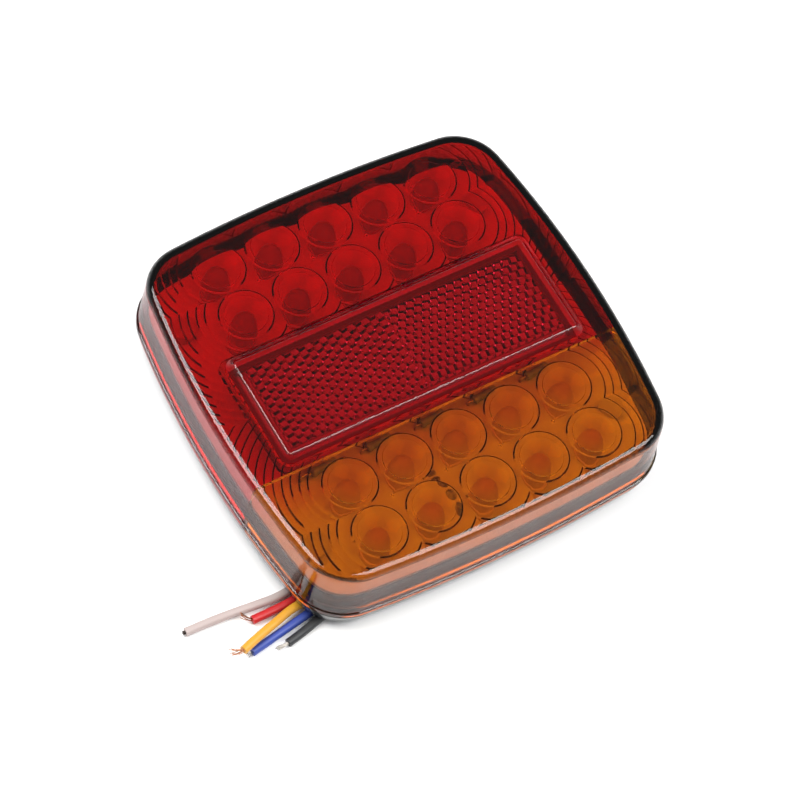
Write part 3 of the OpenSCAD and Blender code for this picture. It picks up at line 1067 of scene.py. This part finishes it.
@dataclass
class Housing:
    """The black back shell: a shallow tray with feet, insert bosses, board posts and a pocket for the wires.

    Attributes:
        outline: The face outline.
        back_z: Height of the back plate's underside.
        plate_z: Height of the back plate's inside.
        strip_z: Height of the ledge that the lens sits on.
        rim_z: Height of the upright rim inside the lens.
        foot: X and Y of the feet.
        boss_x: X of the insert bosses.
        post: X and Y of the board posts.
        pocket: Low and high corner of the wire pocket.
        outlet: X and Y of the middle of the grommet.
    """

    outline: Outline
    back_z: float = 3.6
    plate_z: float = 6.0
    strip_z: float = 7.2
    rim_z: float = 11.0
    foot: tuple[float, float] = (40.0, 20.0)
    boss_x: float = 25.0
    post: tuple[float, float] = (39.0, 31.5)
    pocket: tuple[float, float, float, float] = (-22.0, -40.0, -3.5, -23.0)
    outlet: tuple[float, float] = (-7.25, -31.5)

    def pocket_block(self, wall: float, low: float, high: float) -> bmesh.types.BMesh:
        """Rounded block round the wire pocket, larger by wall."""
        x0, y0, x1, y1 = self.pocket
        ring = rounded_rectangle((x1 - x0) / 2 + wall, (y1 - y0) / 2 + wall, 3.0 + wall)
        solid = loft([(ring, low), (ring, high)])
        bmesh.ops.translate(solid, vec=((x0 + x1) / 2, (y0 + y1) / 2, 0), verts=solid.verts[:])
        return solid

    def build(self) -> bpy.types.Object:
        """Builds the housing."""
        strip = [(2.1, self.back_z), (2.3, self.back_z + 0.1), (2.5, self.back_z + 0.4)]
        strip += [(3.1, self.strip_z - 0.6), (3.15, self.strip_z - 0.2), (3.0, self.strip_z)]
        inside = [(0.7, self.strip_z + 0.03), (0.7, self.rim_z - 0.2), (0.55, self.rim_z)]
        inside += [(-0.9, self.rim_z - 0.03), (-0.9, self.plate_z)]
        shell = as_object(self.outline.solid(strip + inside), "housing")
        added = [self.pocket_block(1.4, self.plate_z - 1, 9.6)]
        for sx in (-1, 1):
            added.append(cylinder(6.5, 0.0, 10.0, (sx * self.boss_x, 0), 64))
            for sy in (-1, 1):
                added.append(cylinder(4.5, 0.0, self.back_z + 1, (sx * self.foot[0], sy * self.foot[1])))
                added.append(cylinder(3.25, self.plate_z - 1, 10.9, (sx * self.post[0], sy * self.post[1])))
        for x in (-34.0, -12.0, 12.0, 34.0):
            added.append(block((x - 0.5, -45.5, self.back_z - 0.5), (x + 0.5, -41.5, self.back_z + 0.5)))
            added.append(block((x - 0.5, 27.0, self.back_z - 0.5), (x + 0.5, 45.5, self.back_z + 0.5)))
        for solid in added:
            combine(shell, solid, Cut.KEEP_BOTH)
        taken = [self.pocket_block(0.0, 0.0, 8.2)]
        slot_ring = rounded_rectangle(2.2, 7.2, 2.19)
        slot = loft([(slot_ring, 7.0), (slot_ring, 11.0)])
        bmesh.ops.translate(slot, vec=(*self.outlet, 0), verts=slot.verts[:])
        taken.append(slot)
        for sx in (-1, 1):
            taken.append(cylinder(3.5, -1.0, 8.0, (sx * self.boss_x, 0)))
            for sy in (-1, 1):
                taken.append(cylinder(1.25, self.plate_z, 12.0, (sx * self.post[0], sy * self.post[1]), 24))
                taken.append(cylinder(2.0, -1.0, 0.25, (sx * self.foot[0], sy * self.foot[1])))
        for x, y in ((0.0, 20.0), (0.0, -12.0), (-30.0, 34.0), (30.0, 34.0), (30.0, -34.0)):
            taken.append(cylinder(3.0, 0.0, self.back_z + 0.2, (x, y)))
        for solid in taken:
            combine(shell, solid, Cut.TAKE_AWAY)
        soften = shell.modifiers.new("soften", "BEVEL")
        soften.width = 0.2
        soften.segments = 2
        soften.limit_method = "ANGLE"
        soften.angle_limit = math.radians(50)
        depsgraph = bpy.context.evaluated_depsgraph_get()
        smooth = bpy.data.meshes.new_from_object(shell.evaluated_get(depsgraph))
        shell.modifiers.clear()
        shell.data = smooth
        return complete(shell, Finish.BLACK_ABS, ["base_housing"], 40.0)


# -------------------------------------------------------------------- LEDs


@dataclass
class Leds:
    """The 5 mm LEDs: round-topped bodies of diffused epoxy.

    Attributes:
        grid: Their places.
        board_z: Top of the board they stand on.
        radius: Radius of a body.
        height: Height of a body.
    """

    grid: LedGrid
    board_z: float = 12.5
    radius: float = 2.5
    height: float = 8.6

    def body(self) -> bmesh.types.BMesh:
        """One epoxy body."""
        shoulder = self.height - self.radius
        profile = [(0, 0), (2.85, 0), (2.9, 0.05), (2.9, 0.9), (2.85, 1.0), (self.radius, 1.02)]
        profile += [(self.radius, shoulder)]
        for i in range(1, 9):
            angle = math.pi / 2 * i / 8
            profile.append((self.radius * math.cos(angle), shoulder + self.radius * math.sin(angle)))
        profile[-1] = (0, self.height)
        return turned(profile, 32)

    def build(self) -> list[bpy.types.Object]:
        """Builds the red and the amber LEDs."""
        made = []
        kinds = (
            (1, "red", Finish.RED_EPOXY, "led_red_epoxy"),
            (-1, "amber", Finish.AMBER_EPOXY, "led_amber_epoxy"),
        )
        for end, colour, finish, slot in kinds:
            bodies = bmesh.new()
            for x, y in self.grid.places((end,)):
                merge_in(bodies, self.body(), Matrix.Translation((x, y, self.board_z)))
            piece = as_object(bodies, f"led_bodies_{colour}")
            made.append(complete(piece, finish, [f"{colour}_leds"]))
        return made


# ------------------------------------------------------------------- wires


@dataclass
class Wire:
    """One loose supply wire, from its solder joint down through the grommet and out past the corner.

    Attributes:
        colour: Its colour's name, which its CAD nodes carry too.
        finish: Finish of the insulation.
        lane: Its place in the grommet, counted from the middle.
        run: Route points after the drop to the floor.
        strand_finish: Finish of the bare strands.
        strands: Each bare strand as offsets from the wire's end: along it, to its left and up.
        strand_r: Radius of a strand.
        diameter: Diameter over the insulation.
        outlet_x: X of the grommet's middle.
        outlet_y: Y of the grommet's middle.
        gap: Distance between neighbouring lanes.
    """

    colour: str
    finish: Finish
    lane: int
    run: tuple[Point, ...]
    strand_finish: Finish
    strands: tuple[tuple[Point, ...], ...]
    strand_r: float = 0.09
    diameter: float = 2.1
    outlet_x: float = -7.25
    outlet_y: float = -31.5
    gap: float = 2.5

    def route(self) -> list[Vector]:
        """The route's points, in metres."""
        x, y = self.outlet_x, self.outlet_y + self.lane * self.gap
        drop = [(x, y, 10.9), (x, y, 8.6), (x, y, 6.2), (x - 0.7, y, 3.8), (x - 2.5, y, 1.8), (x - 5, y, 1.1)]
        return [Vector(p) * MM for p in [*drop, *self.run]]

    def build(self) -> bpy.types.Object:
        points = self.route()
        wire = self._curve(f"insulation_{self.colour}", [points], self.diameter / 2, 6)
        wire.data.materials.append(self.finish.material())
        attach(wire, BODY)
        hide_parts(f"wire_{self.colour}")
        end, ahead = points[-1], (points[-1] - points[-2]).normalized()
        left = Vector((-ahead.y, ahead.x, 0)).normalized()
        up = ahead.cross(left)
        lines = [
            [end + (ahead * a + left * b + up * c) * MM for a, b, c in strand]
            for strand in self.strands
        ]
        bare = self._curve(f"strands_{self.colour}", lines, self.strand_r, 2)
        bare.data.materials.append(self.strand_finish.material())
        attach(bare, BODY)
        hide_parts(f"core_{self.colour}")
        return wire

    @staticmethod
    def _curve(
        name: str, lines: Sequence[Sequence[Vector]], radius: float, resolution: int
    ) -> bpy.types.Object:
        """Makes a round curve through each line's points.

        Args:
            name: Name of the piece.
            lines: Each line's points, in metres.
            radius: Radius in millimetres.
            resolution: How finely it is rounded.

        Returns:
            The curve object.
        """
        curve = bpy.data.curves.new(name, "CURVE")
        curve.dimensions = "3D"
        curve.bevel_depth = radius * MM
        curve.bevel_resolution = resolution
        curve.use_fill_caps = True
        curve.resolution_u = 6
        for line in lines:
            spline = curve.splines.new("BEZIER")
            spline.bezier_points.add(len(line) - 1)
            for knot, place in zip(spline.bezier_points, line):
                knot.co = place
                knot.handle_left_type = knot.handle_right_type = "AUTO"
        piece = bpy.data.objects.new(name, curve)
        bpy.context.scene.collection.objects.link(piece)
        return piece


def bundle(
    count: int,
    length: float,
    spread: float,
    bend: Callable[[float], tuple[float, float]],
    seed: int,
) -> tuple[tuple[Point, ...], ...]:
    """Works out a bunch of bare strands that start inside the insulation.

    Args:
        count: Number of strands.
        length: Length of the longest strand.
        spread: How far the strands fan out.
        bend: For a share of the length, how far the bunch has turned left and up.
        seed: Seed of the small differences between strands.

    Returns:
        Each strand's offsets from the wire's end: along it, to its left and up.
    """
    draw = random.Random(seed)
    strands = []
    for index in range(count):
        angle = math.tau * index / count + draw.uniform(-0.3, 0.3)
        start_r = 0.28 if index else 0.0
        reach = length * draw.uniform(0.75, 1.0)
        points = []
        for step in range(6):
            share = step / 5
            left, up = bend(share)
            fan = start_r + spread * share * draw.uniform(0.6, 1.2)
            points.append(
                (
                    -0.6 + (reach + 0.6) * share,
                    left + fan * math.cos(angle + share),
                    up + fan * math.sin(angle + share),
                )
            )
        strands.append(tuple(points))
    return tuple(strands)


def all_wires() -> list[Wire]:
    """The five wires, from the one nearest the red end."""
    return [
        Wire(
            "white",
            Finish.WHITE_PVC,
            2,
            (
                (-20, -26.9, 1.1), (-26, -27.9, 1.1), (-32, -29.6, 1.1), (-38, -31.5, 1.1),
                (-44, -33.1, 1.1), (-50, -33.9, 1.1), (-56, -33.5, 1.1), (-62, -32.9, 1.1),
                (-68, -32.5, 1.1), (-73.8, -32.3, 1.1),
            ),
            Finish.OXIDISED_COPPER,
            bundle(7, 0.7, 0.05, lambda s: (0.0, 0.0), 3),
            0.17,
        ),
        Wire(
            "red",
            Finish.RED_PVC,
            1,
            (
                (-18, -29.2, 1.1), (-23, -29.9, 1.1), (-28, -30.9, 1.1), (-33, -32.4, 1.1),
                (-38, -33.9, 1.1), (-43, -35.4, 1.1), (-48, -36.3, 1.1), (-53, -36.5, 1.1),
                (-58.6, -36.5, 1.1),
            ),
            Finish.BARE_COPPER,
            bundle(6, 2.6, 0.4, lambda s: (-1.6 * s * s, 1.6 * s * s + 0.3 * s), 5),
        ),
        Wire(
            "yellow",
            Finish.YELLOW_PVC,
            0,
            (
                (-20, -31.9, 1.1), (-26, -32.9, 1.1), (-32, -34.5, 1.2), (-38, -36.3, 1.7),
                (-44, -37.9, 2.2), (-50, -38.7, 2.5), (-55, -40.1, 2.8), (-60, -41.5, 3.1),
                (-64.7, -43, 3.3),
            ),
            Finish.BARE_COPPER,
            bundle(8, 2.8, 0.7, lambda s: (-1.5 * s * s, 0.2 * s), 8),
        ),
        Wire(
            "blue",
            Finish.BLUE_PVC,
            -1,
            (
                (-20, -34.4, 1.1), (-25, -35.2, 1.1), (-30, -36.4, 1.1), (-35, -37.8, 1.1),
                (-40, -39.2, 1.1), (-45, -40.5, 1.1), (-50, -41.4, 1.1), (-56, -42.4, 1.1),
                (-62.5, -43.5, 1.1),
            ),
            Finish.TINNED_COPPER,
            bundle(5, 1.4, 0.25, lambda s: (0.0, 0.0), 11),
        ),
        Wire(
            "black",
            Finish.BLACK_PVC,
            -2,
            (
                (-18, -36.7, 1.1), (-23, -37.4, 1.1), (-28, -38.5, 1.1), (-33, -39.9, 1.1),
                (-38, -41.3, 1.1), (-42, -42.4, 1.1), (-46, -43.4, 1.1), (-50, -44.4, 1.1),
                (-54, -45.2, 1.1),
            ),
            Finish.TINNED_COPPER,
            bundle(9, 3.2, 0.12, lambda s: (-0.5 * s * s, 0.0), 14),
            0.14,
        ),
    ]


# ------------------------------------------------------------ carried nodes


def dress_cad_nodes() -> None:
    """Gives every CAD node that stays visible its finish."""
    finishes = {
        "mounting_inserts": Finish.BRASS,
        "cable_grommet": Finish.EPDM_RUBBER,
        "lens_seal": Finish.SEALANT,
        "reflector_backing": Finish.RED_ABS,
        "circuit_board": Finish.SOLDER_MASK,
        "board_screws": Finish.ZINC_STEEL,
        "red_led_legs": Finish.TINNED_WIRE,
        "amber_led_legs": Finish.TINNED_WIRE,
        "resistors": Finish.RESISTOR_LACQUER,
        "resistor_legs": Finish.TINNED_WIRE,
        "diodes": Finish.DIODE_EPOXY,
        "diode_legs": Finish.TINNED_WIRE,
        "board_solder": Finish.SOLDER,
        "wire_solder": Finish.SOLDER,
    }
    for node, finish in finishes.items():
        for material_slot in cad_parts[node].material_slots:
            material_slot.material = finish.material()
        log.info("%s: %s", node, finish.value.name)


# ------------------------------------------------------------------ studio


@dataclass
class Studio:
    """Plain pale floor, soft white light and the camera.

    Attributes:
        azimuth_deg: Camera's direction round the lamp.
        elevation_deg: Camera's height above the horizon.
        roll_deg: Camera's turn about its own axis.
        distance: Distance from the middle of the face, in mm.
        focal: Focal length on a 36 mm sensor.
        shift: Sensor shift that frames the lamp.
        target: Point looked at, in mm.
        wall_level: Brightness of the room's walls.
        ceiling_level: Brightness of its ceiling.
        left_power: Power of the soft box on the left, in watts.
        right_power: Power of the soft box on the right, in watts.
    """

    azimuth_deg: float = -43.6
    elevation_deg: float = 59.3
    roll_deg: float = 15.5
    distance: float = 800.0
    focal: float = 154.46
    shift: tuple[float, float] = (-0.0078, -0.0659)
    target: Point = (0.0, 0.0, 25.0)
    wall_level: float = 0.95
    ceiling_level: float = 0.2
    left_power: float = 34.0
    right_power: float = 30.0

    def back(self) -> Vector:
        """The direction from the lamp to the camera."""
        a, e = math.radians(self.azimuth_deg), math.radians(self.elevation_deg)
        return Vector((math.sin(a) * math.cos(e), -math.cos(a) * math.cos(e), math.sin(e)))

    def camera(self) -> None:
        """Places the camera."""
        back = self.back()
        right = (-back).cross(Vector((0, 0, 1))).normalized()
        up = right.cross(-back)
        roll = math.radians(self.roll_deg)
        turned_right = right * math.cos(roll) + up * math.sin(roll)
        turned_up = up * math.cos(roll) - right * math.sin(roll)
        data = bpy.data.cameras.new("camera")
        data.sensor_width = 36.0
        data.lens = self.focal
        data.shift_x, data.shift_y = self.shift
        data.clip_start, data.clip_end = 0.05, 20.0
        camera = bpy.data.objects.new("camera", data)
        place = Matrix((turned_right, turned_up, back)).transposed().to_4x4()
        place.translation = (Vector(self.target) + back * self.distance) * MM
        camera.matrix_world = place
        bpy.context.scene.collection.objects.link(camera)
        bpy.context.scene.camera = camera

    def floor(self) -> None:
        """Lays the floor."""
        mesh = bmesh.new()
        bmesh.ops.create_grid(mesh, x_segments=4, y_segments=4, size=4.0)
        floor = as_object(mesh, "studio_floor")
        set_finish(floor, Finish.STUDIO_PAPER)

    def lights(self) -> None:
        """Hangs the soft boxes and sets the room's light."""
        world = bpy.data.worlds.new("room")
        world.use_nodes = True
        tree = world.node_tree
        background = tree.nodes["Background"]
        direction = add_node(tree, "TexCoord").outputs["Generated"]
        height = add_node(tree, "SeparateXYZ", None, {0: direction}).outputs[2]
        # Pale walls all round under a dim ceiling
        level = add_node(
            tree,
            "MapRange",
            {"interpolation_type": "SMOOTHSTEP"},
            {0: height, 1: 0.05, 2: 0.42, 3: self.wall_level, 4: self.ceiling_level},
        )
        background.inputs["Color"].default_value = (1.0, 1.0, 1.0, 1.0)
        tree.links.new(level.outputs[0], background.inputs["Strength"])
        bpy.context.scene.world = world
        boxes = (
            ("softbox_left", Vector((-0.6, 0.6, 1.47)), 1.1, self.left_power),
            ("softbox_right", Vector((0.6, -0.6, 1.47)), 1.1, self.right_power),
        )
        for name, place, size, power in boxes:
            data = bpy.data.lights.new(name, "AREA")
            data.size = size
            data.energy = power
            light = bpy.data.objects.new(name, data)
            light.location = place
            light.rotation_euler = place.to_track_quat("Z", "Y").to_euler()
            bpy.context.scene.collection.objects.link(light)

    def build(self) -> None:
        """Sets up the floor, the lights and the colour handling."""
        self.floor()
        self.lights()
        bpy.context.scene.view_settings.view_transform = "Standard"


def main() -> None:
    """Builds the lamp around the frame, piece by piece."""
    studio = Studio()
    studio.camera()
    for wire in all_wires():
        wire.build()
    studio.build()
    outline, grid = Outline(), LedGrid()
    reflector = Reflector()
    Housing(outline).build()
    Leds(grid).build()
    reflector.build()
    Lens(outline, grid).build(reflector.foot(20.0, 30.0, 0.02))
    dress_cad_nodes()


if __name__ == "__main__":
    main()
